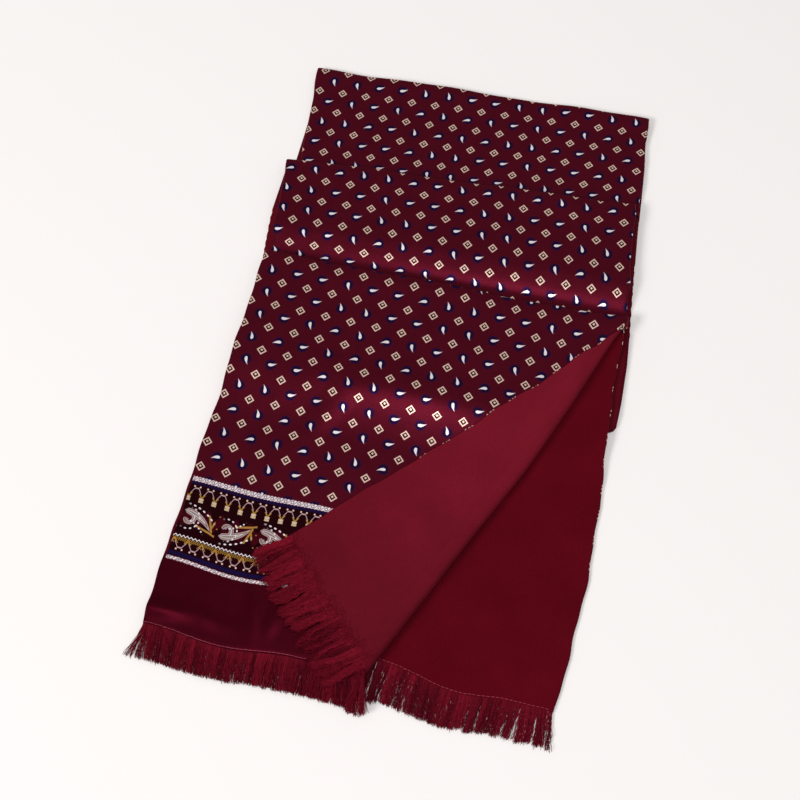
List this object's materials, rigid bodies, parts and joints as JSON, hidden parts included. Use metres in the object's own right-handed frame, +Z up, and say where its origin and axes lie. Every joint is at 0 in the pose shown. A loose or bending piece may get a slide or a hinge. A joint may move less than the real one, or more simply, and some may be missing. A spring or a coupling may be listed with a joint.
{
  "type": "folded silk scarf with fringed ends",
  "caption": "Folded silk scarf with a printed satin face, a plain brushed back, one turned-over corner and a thread fringe along each end.",
  "frame": {"origin": "middle of the underside, on the surface that the scarf lies on", "axes": "+X across the scarf, +Y from the fringed hems to the rear fold, +Z up"},
  "size_m": [0.3372, 0.5804, 0.015],
  "materials": {
    "printed_satin": "printed silk satin, soft sheen",
    "brushed_back": "plain brushed cloth, matt",
    "inner_layers": "plain brushed cloth, matt",
    "fringe_thread": "loose silk thread"
  },
  "bodies": {
    "root": {"rear_leaf_face": "printed_satin", "rear_leaf_back": "brushed_back", "middle_leaf_face": "printed_satin", "middle_leaf_back": "brushed_back", "front_leaf_face": "printed_satin", "front_leaf_back": "brushed_back", "end_leaf_face": "printed_satin", "end_leaf_back": "brushed_back", "hidden_layers": "inner_layers", "front_fringe": "fringe_thread", "corner_fringe": "fringe_thread", "end_fringe": "fringe_thread"}
  },
  "joints": []
}
